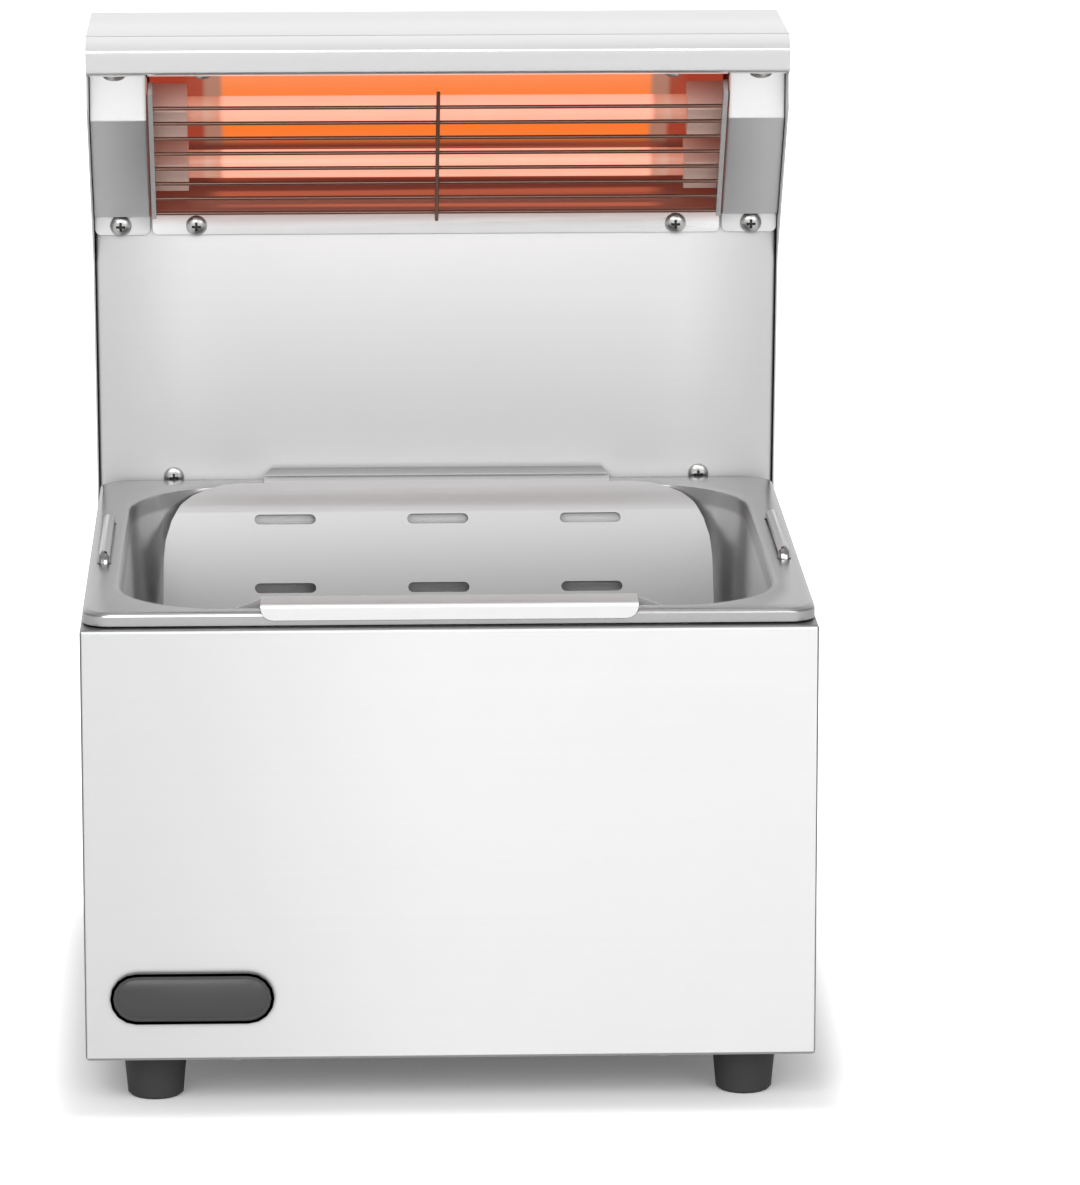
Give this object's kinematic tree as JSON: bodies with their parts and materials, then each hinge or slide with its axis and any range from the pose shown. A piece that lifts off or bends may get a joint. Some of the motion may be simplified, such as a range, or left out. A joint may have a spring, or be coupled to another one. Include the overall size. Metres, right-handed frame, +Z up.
{
  "type": "french fry dump station",
  "caption": "Countertop stainless chip scuttle: a body holding a lift-out Gastronorm pan with a slotted drain insert, under a quartz heat lamp hood on a leaning column.",
  "frame": {"origin": "centre of the bounding box's footprint, on the table the feet stand on", "axes": "+X to the user's right, +Y from the open front to the back wall, +Z up"},
  "size_m": [0.358, 0.3592, 0.4938],
  "materials": {
    "brushed_steel": "fine brushed stainless steel",
    "polished_steel": "bright drawn stainless steel",
    "mirror_aluminium": "bright rolled aluminium",
    "screw_steel": "plated steel",
    "black_rubber": "matt moulded rubber",
    "dark_plastic": "satin dark grey plastic",
    "black_plastic": "fine textured plastic",
    "lead_sleeve": "braided heatproof sleeve",
    "milky_quartz": "milky quartz, glowing",
    "heating_coil": "glowing wound wire",
    "ceramic": "unglazed steatite"
  },
  "bodies": {
    "station": {"badge_plate": "dark_plastic", "band_screw_inner_left": "screw_steel", "band_screw_inner_right": "screw_steel", "band_screw_outer_left": "screw_steel", "band_screw_outer_right": "screw_steel", "base_plate": "brushed_steel", "base_screw_front_left": "screw_steel", "base_screw_front_right": "screw_steel", "base_screw_side_left": "screw_steel", "base_screw_side_right": "screw_steel", "body_wrap": "brushed_steel", "cable_gland": "black_plastic", "foot_back_left": "black_rubber", "foot_back_right": "black_rubber", "foot_front_left": "black_rubber", "foot_front_right": "black_rubber", "foot_screw_back_left": "screw_steel", "foot_screw_back_right": "screw_steel", "foot_screw_front_left": "screw_steel", "foot_screw_front_right": "screw_steel", "gland_nut": "black_plastic", "hood_cover": "brushed_steel", "hood_screw_inner_left": "screw_steel", "hood_screw_inner_right": "screw_steel", "hood_screw_outer_left": "screw_steel", "hood_screw_outer_right": "screw_steel", "lamp_element_lower": "heating_coil", "lamp_element_upper": "heating_coil", "lamp_guard": "polished_steel", "lamp_holder_lower_left": "ceramic", "lamp_holder_lower_right": "ceramic", "lamp_holder_upper_left": "ceramic", "lamp_holder_upper_right": "ceramic", "lamp_lead": "lead_sleeve", "quartz_lamp_lower": "milky_quartz", "quartz_lamp_upper": "milky_quartz", "rear_rail": "brushed_steel", "rear_shell": "brushed_steel", "reflector": "mirror_aluminium", "reflector_end_left": "mirror_aluminium", "reflector_end_right": "mirror_aluminium", "shell_screw_high_left": "screw_steel", "shell_screw_high_right": "screw_steel", "shell_screw_low_left": "screw_steel", "shell_screw_low_right": "screw_steel", "splash_panel": "brushed_steel", "splash_screw_left": "screw_steel", "splash_screw_right": "screw_steel", "switch_housing": "black_plastic", "switch_lead": "lead_sleeve", "terminal_block": "ceramic", "terminal_cover_left": "brushed_steel", "terminal_cover_right": "brushed_steel"},
    "pan": {"pan": "polished_steel"},
    "insert": {"drain_insert": "polished_steel"},
    "handle_left": {"pan_handle_left": "polished_steel"},
    "handle_right": {"pan_handle_right": "polished_steel"},
    "rocker": {"switch_rocker": "black_plastic"}
  },
  "joints": [
    {"name": "pan_lift", "type": "slide", "parent": "station", "child": "pan", "axis": [0, -0.1289, 0.9917], "range_m": [0, 0.05]},
    {"name": "insert_lift", "type": "slide", "parent": "pan", "child": "insert", "axis": [0, -0.1289, 0.9917], "range_m": [0, 0.05]},
    {"name": "handle_lift_left", "type": "slide", "parent": "pan", "child": "handle_left", "axis": [0, 0, 1], "range_m": [0, 0.035]},
    {"name": "handle_lift_right", "type": "slide", "parent": "pan", "child": "handle_right", "axis": [0, 0, 1], "range_m": [0, 0.035]},
    {"name": "switch_rock", "type": "hinge", "parent": "station", "child": "rocker", "pos_m": [-0.096, 0.16223, 0.0618], "axis": [1, 0, 0], "range_deg": [-20, 0]}
  ]
}
